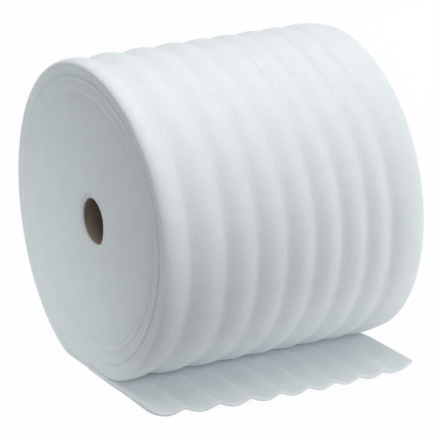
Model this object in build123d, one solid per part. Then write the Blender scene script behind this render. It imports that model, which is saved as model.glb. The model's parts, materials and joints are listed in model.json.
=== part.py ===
from build123d import *
import os

# Foam wrap roll: a ridged polyethylene foam web wound on a cardboard core, lying on its side.
# X runs along the core, from the near end to the far end. The loose tail lies towards -Y.
# Z is up, and z = 0 is the floor under the roll's flat spot. All sizes are in millimetres.

# Web and roll
web_width = 304.8
web_thickness = 3.2
roll_radius = 171.0
floor_press = 6.7

# Core tube
core_bore = 50.8
core_wall = 3.0
core_clearance = 0.15
core_recess = 1.6

# Ridges round the roll, closer together towards the far end
ridge_count = 9
ridge_depth = 4.5
first_crest_inset = 11.0
last_crest_inset = 29.8
pitch_taper = 1.435
crest_share = 0.42
edge_curl = 3.0

# Bundles of turns, each wound a little further sideways than the one around it
bundle_count = 6
bundle_drift = 1.6

# Loose tail in front of the roll
tail_reach = 158.0
tail_bow = 11.0
tail_skew = 5.0

# Worked out from the sizes above
near_end = -web_width / 2
far_end = web_width / 2
axis_height = roll_radius - floor_press
core_radius = core_bore / 2 + core_wall
first_turn_radius = core_radius + core_clearance
edge_radius = roll_radius - edge_curl


def ridge_pitches():
    """The distance from each crest to the next, in equal ratios from the near end."""
    gaps = ridge_count - 1
    shares = [pitch_taper ** (1 - gap / gaps) for gap in range(gaps)]
    span = web_width - first_crest_inset - last_crest_inset
    return [span * share / sum(shares) for share in shares]


def web_wave():
    """The web's outer face across its width, as (x, depth below the crests)."""
    pitches = ridge_pitches()
    crest = near_end + first_crest_inset
    wave = [(near_end, edge_curl), (crest - crest_share * pitches[0] / 2, 0)]
    for pitch in pitches:
        half_crest = crest_share * pitch / 2
        wave.append((crest + half_crest, 0))
        wave.append((crest + pitch / 2, ridge_depth))
        wave.append((crest + pitch - half_crest, 0))
        crest += pitch
    return wave + [(crest + crest_share * pitches[-1] / 2, 0), (far_end, edge_curl)]


def end_steps(end):
    """The steps of one end face, from the web's outer edge in to the first turn."""
    bundle_height = (edge_radius - first_turn_radius) / bundle_count
    steps = []
    for bundle in range(bundle_count):
        x = end + bundle * bundle_drift
        outer = edge_radius - bundle * bundle_height
        steps.append((x, outer))
        steps.append((x, outer - bundle_height))
    return steps


def wound_turns():
    """All the turns as one ring, pressed flat where the roll rests on the floor."""
    outside = [(x, roll_radius - depth) for x, depth in web_wave()]
    outline = outside + end_steps(far_end)[1:] + end_steps(near_end)[:0:-1]
    ring = revolve(make_face(Polyline(*outline, close=True)), Axis.X)
    return split(Pos(Z=axis_height) * ring, bisect_by=Plane.XY, keep=Keep.TOP)


def loose_tail():
    """The end of the web, lying on its ridge crests, cut along a bowed and slightly skew line."""
    underside = web_wave()
    top = [(x, height + web_thickness) for x, height in reversed(underside)]
    section = Plane.XZ * make_face(Polyline(*underside, *top, close=True))
    near_corner = (near_end, tail_skew - tail_reach)
    far_corner = (far_end, -tail_skew - tail_reach)
    sides = Polyline(near_corner, (near_end, 0), (far_end, 0), far_corner)
    cut_edge = ThreePointArc(far_corner, (0, -tail_reach - tail_bow), near_corner)
    plan = make_face([*sides.edges(), cut_edge])
    return extrude(section, roll_radius) & extrude(plan, roll_radius)


def foam_wrap():
    """The foam web: its turns and its tail are one piece."""
    return wound_turns() + loose_tail()


def core_tube():
    """The cardboard tube, its ends a little inside the first turns."""
    tube_length = web_width - 2 * core_recess
    tube = Cylinder(core_radius, tube_length) - Cylinder(core_bore / 2, tube_length)
    first_turn_drift = (bundle_count - 1) * bundle_drift
    return Pos(first_turn_drift, 0, axis_height) * (Rot(Y=90) * tube)


os.makedirs("parts", exist_ok=True)
export_step(foam_wrap(), "parts/foam_wrap.step")
export_step(core_tube(), "parts/core_tube.step")
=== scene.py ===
import bmesh
import bpy
import json
from math import atan2, cos, exp, floor, hypot, pi, radians, sin, sqrt, tau
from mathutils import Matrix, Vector, noise


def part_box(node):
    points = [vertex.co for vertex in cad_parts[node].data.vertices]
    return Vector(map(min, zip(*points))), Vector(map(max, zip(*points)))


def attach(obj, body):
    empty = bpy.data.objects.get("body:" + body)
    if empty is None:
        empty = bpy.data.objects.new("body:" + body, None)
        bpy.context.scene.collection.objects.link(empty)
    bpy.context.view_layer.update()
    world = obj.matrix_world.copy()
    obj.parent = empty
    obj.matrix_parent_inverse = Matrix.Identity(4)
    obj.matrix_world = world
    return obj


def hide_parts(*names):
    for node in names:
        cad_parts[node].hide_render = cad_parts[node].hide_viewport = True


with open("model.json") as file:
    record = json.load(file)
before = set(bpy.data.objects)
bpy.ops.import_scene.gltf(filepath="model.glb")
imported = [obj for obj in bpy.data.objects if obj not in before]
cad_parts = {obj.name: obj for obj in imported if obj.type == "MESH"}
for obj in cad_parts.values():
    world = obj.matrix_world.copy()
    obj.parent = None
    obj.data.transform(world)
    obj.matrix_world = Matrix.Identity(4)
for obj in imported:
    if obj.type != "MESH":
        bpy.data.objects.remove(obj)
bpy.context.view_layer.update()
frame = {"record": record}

# Core tube: brown board wound on a slant into a stiff tube and cut square at both ends.
# The foam was started on it and its first turn curls a little over both ends, so only the inside shows.
bore_mount = next(mount for mount in frame["record"]["mounts"] if mount["name"] == "core_bore")
bore_radius = bore_mount["dims"]["r_mm"] / 1000
axis_height = bore_mount["pos_m"][2]
core_low, core_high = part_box("core_tube")
core_radius = (core_high.z - core_low.z) / 2
core_segments = 96
core_rings = 48
cut_edge_round = 0.0005
board_dark = (0.28, 0.21, 0.16, 1)
board_light = (0.44, 0.345, 0.275, 1)
strip_lead = 0.062
strip_seam = 0.025
seam_shade = 0.25
fibre_scale = 900.0
fibre_share = 0.6
blotch_scale = 60.0
weld = 1e-6


def finished_piece(name, bm, material):
    """Turns a bmesh into a smooth object at the origin, with its faces outwards."""
    bmesh.ops.recalc_face_normals(bm, faces=bm.faces)
    for face in bm.faces:
        face.smooth = True
    mesh = bpy.data.meshes.new(name)
    bm.to_mesh(mesh)
    bm.free()
    mesh.materials.append(material)
    piece = bpy.data.objects.new(name, mesh)
    bpy.context.collection.objects.link(piece)
    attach(piece, "root")
    return piece


class Nodes:
    """A material's node tree, with short calls to add nodes and join them."""

    def __init__(self, name):
        self.material = bpy.data.materials.new(name)
        self.material.use_nodes = True
        self.tree = self.material.node_tree
        self.shader = self.tree.nodes["Principled BSDF"]

    def add(self, kind, inputs=None, **settings):
        node = self.tree.nodes.new("ShaderNode" + kind)
        for key, value in settings.items():
            setattr(node, key, value)
        for key, value in (inputs or {}).items():
            if isinstance(value, bpy.types.NodeSocket):
                self.tree.links.new(value, node.inputs[key])
            else:
                node.inputs[key].default_value = value
        return node

    def math(self, operation, first, second=0.0):
        return self.add("Math", {0: first, 1: second}, operation=operation).outputs[0]

    def ramp(self, factor, low, high, low_color, high_color):
        node = self.add("ValToRGB", {"Fac": factor})
        node.color_ramp.elements[0].position = low
        node.color_ramp.elements[0].color = low_color
        node.color_ramp.elements[1].position = high
        node.color_ramp.elements[1].color = high_color
        return node.outputs["Color"]

    def finish(self, socket, value):
        if isinstance(value, bpy.types.NodeSocket):
            self.tree.links.new(value, self.shader.inputs[socket])
        else:
            self.shader.inputs[socket].default_value = value


def core_board():
    """Brown board with a slanting seam between its strips and short paper fibres."""
    nodes = Nodes("core_board")
    place = nodes.add("TexCoord").outputs["Object"]
    parts = nodes.add("SeparateXYZ", {0: place})
    height = nodes.math("SUBTRACT", parts.outputs["Z"], axis_height)
    turn = nodes.math("DIVIDE", nodes.math("ARCTAN2", parts.outputs["Y"], height), tau)
    strip = nodes.math("ADD", nodes.math("DIVIDE", parts.outputs["X"], strip_lead), turn)
    across = nodes.math("FRACT", strip)
    seam = nodes.math("LESS_THAN", across, strip_seam)
    fibres = nodes.add("TexNoise", {"Vector": place, "Scale": fibre_scale, "Detail": 6.0}).outputs["Fac"]
    blotches = nodes.add("TexNoise", {"Vector": place, "Scale": blotch_scale, "Detail": 3.0}).outputs["Fac"]
    tone = nodes.math("ADD", nodes.math("MULTIPLY", fibres, fibre_share),
                      nodes.math("MULTIPLY", blotches, 1 - fibre_share))
    tone = nodes.math("SUBTRACT", tone, nodes.math("MULTIPLY", seam, seam_shade))
    nodes.finish("Base Color", nodes.ramp(tone, 0.3, 0.7, board_dark, board_light))
    nodes.finish("Roughness", 0.85)
    nodes.finish("Specular IOR Level", 0.2)
    relief = nodes.math("SUBTRACT", fibres, seam)
    bump = nodes.add("Bump", {"Strength": 0.5, "Distance": 0.0003, "Height": relief})
    nodes.finish("Normal", bump.outputs["Normal"])
    return nodes.material


bm = bmesh.new()
corners = [
    bm.verts.new((core_low.x, 0, axis_height - bore_radius)),
    bm.verts.new((core_low.x, 0, axis_height - core_radius)),
    bm.verts.new((core_high.x, 0, axis_height - core_radius)),
    bm.verts.new((core_high.x, 0, axis_height - bore_radius)),
]
for i in range(4):
    bm.edges.new((corners[i], corners[i - 1]))
bmesh.ops.bevel(bm, geom=corners, affect="VERTICES", offset=cut_edge_round, segments=2, profile=0.5,
                material=-1)
long_walls = [edge for edge in bm.edges if edge.calc_length() > core_radius * 2]
bmesh.ops.subdivide_edges(bm, edges=long_walls, cuts=core_rings)
bmesh.ops.spin(bm, geom=bm.verts[:] + bm.edges[:], cent=(0, 0, axis_height), axis=(1, 0, 0), angle=tau,
               steps=core_segments, use_merge=True)
bmesh.ops.remove_doubles(bm, verts=bm.verts, dist=weld)
core = finished_piece("core_tube_board", bm, core_board())
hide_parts("core_tube")

# Foam web: one long sheet of soft white polyethylene foam with lengthwise ridges, wound on the core.
# The turns are pressed flat where the roll rests, and the loose end lies in front on its ridges.
foam_low, foam_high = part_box("foam_wrap")
near_end = foam_low.x
far_end = -near_end
web_width = far_end - near_end
roll_radius = foam_high.z - axis_height
side_drift = foam_high.x - far_end
sheet_thickness = 0.0032
edge_curl = 0.003
first_crest_inset = 0.011
last_crest_inset = 0.0298
ridge_count = 9
pitch_taper = 1.435
near_ridge_depth = 0.006
far_ridge_depth = 0.0038
valley_round = 0.12
ridge_wander = 0.0016
wander_along = 9
wander_round = 1.4
ridge_drift = 0.016
drift_reach = 0.08
drift_end = 0.98
drift_fade = 0.06
ridge_swell = 0.18
swell_shift = Vector((5.2, 1.3, 8.1))
edge_calm = 0.02
core_gap = 0.0002
first_turn_radius = core_radius + core_gap
turn_count = 43
rows_per_turn = 3
turn_pitch = (roll_radius - edge_curl - first_turn_radius) / (turn_count - 0.5)
edge_radius = first_turn_radius + turn_pitch * turn_count
outer_radius = edge_radius + edge_curl
turn_seam_depth = 0.0003
inner_seam_share = 0.15
seam_fade_turns = 6
turn_wander = 0.0003
turn_wander_pace = 0.55
turn_seed = (3.7, 0.2)
slipped_turns = ((1.2, 0.0009), (4.6, 0.0013), (5.7, -0.0009), (9.75, -0.0013), (10.9, 0.0007))
slip_width = 0.42
dent_depth = 0.0022
dents_per_metre = 13
dent_free_turns = 6
dent_seed = 4.1
near_dish = 0.006
near_curl_mean = 0.8
near_curl_most = 1.35 * pi
near_warp_mean = 0.0012
near_warp_oval = 0.0022
near_warp_tilt = 0.0011
near_warp_reach = 0.06
far_edge_lean = 0.0055
far_foot_lean = 0.0035
rim_turns = 8
round_steps = 216
skin_rows = 108
flat_corner_round = 0.003
lip_rows = ((0.0268, 0.0002), (0.0252, 0.0007), (0.0243, 0.0014), (0.0239, 0.0022))
lip_back = 0.0002
lip_gap = 0.0003
lip_unevenness = 0.0004
lip_pace = 2
torn_lip = 0.0022
torn_lip_angle = radians(320)
torn_lip_width = 0.45
tail_reach = 0.158
tail_skew = 0.005
tail_bow = 0.011
near_corner_round = 0.016
pressed_tail = 0.045
free_tail = 0.085
tail_steps = 32
far_corner_lift = 0.003
far_edge_inset = 0.005
inset_share = 0.25
cut_edge_depth = 0.0012
cut_edge_turns = (30, 60, 90)
foam_white = (0.868, 0.893, 0.905, 1)
foam_cloud = (0.845, 0.873, 0.888, 1)
cloud_scale = 45.0
pebble_scale = 240.0
pebble_depth = 0.0012
cell_scale = 520.0
cell_share = 0.35
roll_glow = 0.7
sheet_glow = 0.15
glow_reach = 0.009
row_reach = 0.1
hair = 2e-6


def crest_places():
    """The place of each ridge crest along X, closer together towards the far end."""
    gaps = ridge_count - 1
    shares = [pitch_taper ** (1 - gap / gaps) for gap in range(gaps)]
    span = web_width - first_crest_inset - last_crest_inset
    places = [near_end + first_crest_inset]
    for share in shares:
        places.append(places[-1] + span * share / sum(shares))
    return places


crests = crest_places()


def ridge_fall(x):
    """How far the web lies below its crests at x: broad round crests and narrow valleys."""
    if x <= crests[0]:
        return edge_curl * ((crests[0] - x) / first_crest_inset) ** 2
    if x >= crests[-1]:
        return edge_curl * ((x - crests[-1]) / last_crest_inset) ** 2
    gap = next(i for i in range(ridge_count - 1) if x < crests[i + 1])
    across = (x - crests[gap]) / (crests[gap + 1] - crests[gap])
    hump = sqrt(cos(pi * across) ** 2 + valley_round ** 2) - valley_round
    hump /= sqrt(1 + valley_round ** 2) - valley_round
    along = (x - near_end) / web_width
    return (near_ridge_depth + (far_ridge_depth - near_ridge_depth) * along) * (1 - hump)


def web_fall(x, theta):
    """The ridges, which drift towards the far end as the web goes round, with the wander of soft foam."""
    calm = min(1, (x - near_end) / edge_calm, (far_end - x) / edge_calm)
    spot = Vector((x * wander_along, wander_round * cos(theta), wander_round * sin(theta)))
    turn = theta / tau
    drift = ridge_drift * min(turn ** 2, max(0, (drift_end - turn) / drift_fade))
    drift *= min(1, (x - near_end) / drift_reach)
    moved = x + calm * (ridge_wander * noise.noise(spot) - drift)
    swell = 1 + calm * ridge_swell * noise.noise(spot + swell_shift)
    return ridge_fall(moved) * swell


def smooth_least(a, b, width):
    """The lesser of two lengths, with the corner between them rounded."""
    overlap = max(width - abs(a - b), 0) / width
    return min(a, b) - overlap * overlap * width / 4


def pressed(radius, theta):
    """A turn's radius after the roll's weight has pressed its underside flat."""
    from_bottom = min(theta, tau - theta)
    if from_bottom > pi / 3:
        return radius
    outline = smooth_least(outer_radius, axis_height / cos(from_bottom), flat_corner_round)
    share = (radius - first_turn_radius) / (outer_radius - first_turn_radius)
    return radius * (1 - (1 - outline / outer_radius) * share ** 2)


def near_edge_fall(theta):
    """How far the web's near edge curls in: most at the upper front, least where it is pressed down."""
    return edge_curl * max(0, near_curl_mean + cos(theta - near_curl_most))


def near_warp(theta):
    """How far the rim of the near end is warped towards the far end: most at the front, least at the top."""
    return near_warp_mean - near_warp_oval * cos(2 * theta) - near_warp_tilt * sin(theta)


def dish(turns_in, depth):
    """How far the roll's turns have slipped towards the far end, at a depth from its outside."""
    radius = max(edge_radius - turn_pitch * turns_in, first_turn_radius)
    return depth * (1 - (radius / edge_radius) ** 2)


def end_dents(y, z, turns_in):
    """Soft dents and swellings of the end face, which die out at its rim."""
    spot = Vector((y * dents_per_metre, z * dents_per_metre, dent_seed))
    return dent_depth * min(1, turns_in / dent_free_turns) * noise.noise(spot)


def turn_slip(turns_wound):
    """How far single turns stand in or out from the ones beside them."""
    spot = Vector((turns_wound * turn_wander_pace, *turn_seed))
    slip = min(max(turns_wound - 1, 0), 1) * turn_wander * noise.noise(spot)
    for place, depth in slipped_turns:
        slip += depth * exp(-((turns_wound - place) / slip_width) ** 2)
    return slip


def wind_up(vert, theta):
    """Moves a vertex of the plain ring to its place on the wound web."""
    x = vert[across]
    radius = hypot(vert.co.y, vert.co.z - axis_height)
    row = (edge_radius - radius) / turn_pitch
    turns_in = row + theta / tau
    turns_wound = min(floor(row + row_reach) + theta / tau, turn_count)
    at_near = x < near_end + hair
    at_far = x > far_end - hair
    near_rim = max(0, 1 - turns_in / rim_turns) ** 2
    far_rim = near_rim * max(0, (x - crests[-1]) / last_crest_inset) ** 2
    near_rim *= max(0, (crests[0] - x) / first_crest_inset) ** 2
    wound = max(edge_radius - turn_pitch * turns_in, first_turn_radius)
    if row < row_reach:
        wound += edge_curl - web_fall(x, theta)
    wound += (edge_curl - near_edge_fall(theta)) * near_rim
    x += (far_edge_lean * cos(theta + pi / 4) + far_foot_lean * max(0, cos(theta)) ** 2) * far_rim
    x += near_warp(theta) * max(0, 1 - (x - near_end) / near_warp_reach) * (wound / outer_radius) ** 2
    y = wound * sin(theta)
    z = -wound * cos(theta)
    if at_near or at_far:
        x += dish(turns_in, near_dish if at_near else side_drift)
        x += turn_slip(turns_wound) + end_dents(y, z, turns_in)
        if abs(row - round(row)) < row_reach or wound < first_turn_radius + hair:
            fade = exp(-turns_in / seam_fade_turns)
            seam = turn_seam_depth * (inner_seam_share + (1 - inner_seam_share) * fade)
            x += seam if at_near else -seam
    squeeze = pressed(wound, theta) / wound
    vert.co = (x, y * squeeze, axis_height + z * squeeze)


def lay_tail(vert, share, out, past_cut):
    """Lays a vertex of the loose end on the floor: share up the thickness, out along its length."""
    x = vert[across]
    place = 2 * x / web_width
    reach = tail_reach + tail_skew * place + tail_bow * (1 - place ** 2) + past_cut
    from_corner = max(0, near_corner_round - (x - near_end))
    reach -= near_corner_round - sqrt(near_corner_round ** 2 - from_corner ** 2)
    rise = min(1, max(0, (reach * out - pressed_tail) / (free_tail - pressed_tail)))
    height = web_fall(x, 0) * rise * rise * (3 - 2 * rise)
    if x < crests[0]:
        height *= near_edge_fall(0) / edge_curl
    if x > crests[-1]:
        to_edge = (x - crests[-1]) / last_crest_inset
        height += far_corner_lift * (out * to_edge) ** 2
        x -= far_edge_inset * min(1, out / inset_share) * to_edge
    x += near_warp(0) * max(0, 1 - (x - near_end) / near_warp_reach)
    vert.co = (x, -reach * out, height + share * sheet_thickness)


def pull_out(edges, out, squeeze=1.0, past_cut=0.0):
    """Draws the sheet's open end on by one step and returns its new open edges."""
    grown = bmesh.ops.extrude_edge_only(bm, edges=edges)["geom"]
    for vert in [item for item in grown if isinstance(item, bmesh.types.BMVert)]:
        lay_tail(vert, 0.5 + (vert[height_share] - 0.5) * squeeze, out, past_cut)
        vert[loose] = 1.0
    return [item for item in grown if isinstance(item, bmesh.types.BMEdge)]


def curl_in(ring, rows):
    """Curls the first turn's edge in over the end of the core, row by row, and returns its last ring."""
    for radius, x in rows:
        grown = bmesh.ops.extrude_edge_only(bm, edges=ring)["geom"]
        for vert in [item for item in grown if isinstance(item, bmesh.types.BMVert)]:
            angle = atan2(vert.co.y, axis_height - vert.co.z) % tau
            spot = Vector((lip_pace * cos(angle), lip_pace * sin(angle), x * wander_along))
            inner = first_turn_radius - radius
            uneven = 1 - lip_unevenness / inner * abs(noise.noise(spot)) if inner > hair else 1
            torn = min(inner, torn_lip) * exp(-((angle - torn_lip_angle) / torn_lip_width) ** 2)
            wide = first_turn_radius - inner * uneven + (torn if x < 0 else 0)
            vert.co = (x, wide * sin(angle), axis_height - wide * cos(angle))
        ring = [item for item in grown if isinstance(item, bmesh.types.BMEdge)]
    return ring


def foam():
    """Pale, cloudy closed-cell foam that light passes into, less in the single sheet of the loose end."""
    nodes = Nodes("foam")
    place = nodes.add("TexCoord").outputs["Object"]
    clouds = nodes.add("TexNoise", {"Vector": place, "Scale": cloud_scale, "Detail": 4.0}).outputs["Fac"]
    nodes.finish("Base Color", nodes.ramp(clouds, 0.35, 0.65, foam_cloud, foam_white))
    nodes.finish("Roughness", 0.6)
    nodes.finish("Specular IOR Level", 0.3)
    single_sheet = nodes.add("Attribute", attribute_name="loose").outputs["Fac"]
    glow = nodes.add("MapRange", {"Value": single_sheet, "To Min": roll_glow, "To Max": sheet_glow})
    nodes.finish("Subsurface Weight", glow.outputs[0])
    nodes.finish("Subsurface Radius", (glow_reach, glow_reach, glow_reach))
    nodes.finish("Subsurface Scale", 1.0)
    pebbles = nodes.add("TexNoise", {"Vector": place, "Scale": pebble_scale, "Detail": 3.0}).outputs["Fac"]
    cells = nodes.add("TexVoronoi", {"Vector": place, "Scale": cell_scale}, feature="SMOOTH_F1")
    relief = nodes.math("ADD", pebbles, nodes.math("MULTIPLY", cells.outputs["Distance"], cell_share))
    bump = nodes.add("Bump", {"Strength": 0.6, "Distance": pebble_depth, "Height": relief})
    nodes.finish("Normal", bump.outputs["Normal"])
    return nodes.material


bm = bmesh.new()
chain = [
    bm.verts.new((near_end, 0, axis_height - first_turn_radius)),
    bm.verts.new((near_end, 0, axis_height - edge_radius)),
    bm.verts.new((far_end, 0, axis_height - edge_radius)),
    bm.verts.new((far_end, 0, axis_height - first_turn_radius)),
]
near_line, skin_line, far_line = [bm.edges.new(pair) for pair in zip(chain, chain[1:])]
bmesh.ops.subdivide_edges(bm, edges=[near_line, far_line], cuts=turn_count * rows_per_turn - 1)
bmesh.ops.subdivide_edges(bm, edges=[skin_line], cuts=skin_rows - 1)
across = bm.verts.layers.float.new("across")
height_share = bm.verts.layers.float.new("height_share")
loose = bm.verts.layers.float.new("loose")
for vert in bm.verts:
    vert[across] = vert.co.x
first_verts = set(bm.verts)
spun = bmesh.ops.spin(bm, geom=bm.verts[:] + bm.edges[:], cent=(0, 0, axis_height), axis=(1, 0, 0),
                      angle=tau, steps=round_steps)
last_verts = {item for item in spun["geom_last"] if isinstance(item, bmesh.types.BMVert)}
for vert in bm.verts:
    theta = atan2(vert.co.y, axis_height - vert.co.z) % tau
    if vert in first_verts:
        theta = 0.0
        vert[height_share] = min((edge_radius - axis_height + vert.co.z) / turn_pitch, 1)
    if vert in last_verts:
        theta = tau
        vert[height_share] = 1.0
    wind_up(vert, theta)
bmesh.ops.remove_doubles(bm, verts=bm.verts, dist=hair)
open_edges = [edge for edge in bm.edges if edge.is_boundary]
inner_reach = first_turn_radius + turn_pitch / 2
inner_edges = [edge for edge in open_edges
               if all(hypot(v.co.y, v.co.z - axis_height) < inner_reach for v in edge.verts)]
slit = [edge for edge in open_edges if edge not in inner_edges]
near_ring = [edge for edge in inner_edges if edge.verts[0].co.x < 0]
far_ring = [edge for edge in inner_edges if edge.verts[0].co.x > 0]
near_face = near_end + dish(turn_count, near_dish)
far_face = far_end + dish(turn_count, side_drift)
near_rows = [(radius, near_face + depth) for radius, depth in lip_rows]
far_rows = [(radius, far_face - depth) for radius, depth in lip_rows]
under_lip = (lip_rows[-1][0] + lip_back, first_turn_radius)
near_rows += [(radius, core_low.x - lip_gap) for radius in under_lip]
far_rows += [(radius, core_high.x + lip_gap) for radius in under_lip]
bmesh.ops.bridge_loops(bm, edges=curl_in(near_ring, near_rows) + curl_in(far_ring, far_rows))
for step in range(tail_steps):
    slit = pull_out(slit, (step + 1) / tail_steps)
for turn in cut_edge_turns:
    slit = pull_out(slit, 1.0, cos(radians(turn)), cut_edge_depth * sin(radians(turn)))
cut_edge = list(dict.fromkeys(vert for edge in slit for vert in edge.verts))
bmesh.ops.remove_doubles(bm, verts=cut_edge, dist=hair)
web = finished_piece("foam_web", bm, foam())
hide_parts("foam_wrap")

# Ground and light: a white ground that keeps the roll's soft shadow and whose bounce is dull to the front
# left, a wide lamp overhead, one in front, low lamps and pale cards at the sides, and an even surround.
# The camera looks through a long lens from the front left and a little above.
ground_size = 6.0
ground_bright = 0.85
ground_dull = 0.05
dull_side = radians(236)
dull_from = 0.1
dull_to = 0.34
shadow_lift = 0.94
surround_strength = 0.36
surround_cool = (0.9, 0.98, 1.0)
camera_turn = radians(-28.84)
camera_rise = radians(19.16)
camera_distance = 3.257
camera_aim = Vector((0.00665, 0.00165, 0.1393))
lens_mm = 249.8

bm = bmesh.new()
bmesh.ops.create_grid(bm, x_segments=1, y_segments=1, size=ground_size / 2)
mesh = bpy.data.meshes.new("ground")
bm.to_mesh(mesh)
bm.free()
ground = bpy.data.objects.new("ground", mesh)
bpy.context.collection.objects.link(ground)
nodes = Nodes("ground_white")
nodes.finish("Roughness", 0.9)
nodes.finish("Specular IOR Level", 0.0)
rays = nodes.add("LightPath").outputs
seen = nodes.math("MAXIMUM", rays["Is Camera Ray"],
                  nodes.math("MAXIMUM", rays["Is Glossy Ray"], rays["Is Transmission Ray"]))
place = nodes.add("TexCoord").outputs["Object"]
towards = nodes.add("VectorMath", {0: place, 1: (cos(dull_side), sin(dull_side), 0)},
                    operation="DOT_PRODUCT")
bounce = nodes.add("MapRange", {"Value": towards.outputs["Value"], "From Min": dull_from, "From Max": dull_to,
                                "To Min": ground_bright, "To Max": ground_dull},
                   interpolation_type="SMOOTHSTEP")
nodes.finish("Base Color", nodes.math("MAXIMUM", seen, bounce.outputs[0]))
glow = nodes.add("Emission", {"Strength": 1.0})
blend = nodes.add("MixShader", {0: nodes.math("MULTIPLY", seen, shadow_lift),
                                1: nodes.shader.outputs[0], 2: glow.outputs[0]})
nodes.tree.links.new(blend.outputs[0], nodes.tree.nodes["Material Output"].inputs["Surface"])
mesh.materials.append(nodes.material)

world = bpy.data.worlds.new("surround")
world.use_nodes = True
bpy.context.scene.world = world
tree = world.node_tree
rays = tree.nodes.new("ShaderNodeLightPath").outputs
seen = tree.nodes.new("ShaderNodeMixRGB")
seen.inputs["Color1"].default_value = (*[surround_strength * part for part in surround_cool], 1)
seen.inputs["Color2"].default_value = (1, 1, 1, 1)
tree.links.new(rays["Is Camera Ray"], seen.inputs["Fac"])
tree.links.new(seen.outputs["Color"], tree.nodes["Background"].inputs["Color"])


def lamp(name, place, aim, size, power, color=(1, 1, 1)):
    """A square soft lamp that points at aim and isn't seen itself."""
    data = bpy.data.lights.new(name, "AREA")
    data.size = size
    data.energy = power
    data.color = color
    piece = bpy.data.objects.new(name, data)
    piece.location = place
    piece.rotation_euler = (Vector(aim) - Vector(place)).to_track_quat("-Z", "Y").to_euler()
    piece.visible_camera = False
    bpy.context.collection.objects.link(piece)


roll_middle = (0, 0, axis_height)
lamp("overhead", (0, 0, 2.2), roll_middle, 2.25, 27.5)
lamp("front", (-0.2, -2.2, 0.8), roll_middle, 1.6, 14.5)
lamp("right", (1.1, -0.6, 0.08), roll_middle, 0.4, 0.8)
lamp("right_card", (0.75, -0.55, 0.03), (0.75, -0.55, 1), 0.9, 3.3, surround_cool)
lamp("left_card", (-0.55, 0.2, 0.02), (near_end, 0, 0.1), 0.35, 0.5, surround_cool)
lamp("right_back", (1.4, 0.9, 0.45), (far_end, -tail_reach, 0), 0.6, 4.0)
bpy.context.scene.cycles.diffuse_bounces = 12

eye = bpy.data.cameras.new("camera")
eye.lens = lens_mm
eye.clip_end = 20.0
camera = bpy.data.objects.new("camera", eye)
camera.location = camera_aim + camera_distance * Vector((
    sin(camera_turn) * cos(camera_rise), -cos(camera_turn) * cos(camera_rise), sin(camera_rise)))
camera.rotation_euler = (camera_aim - camera.location).to_track_quat("-Z", "Y").to_euler()
bpy.context.collection.objects.link(camera)
bpy.context.scene.camera = camera
bpy.context.scene.view_settings.view_transform = "Standard"
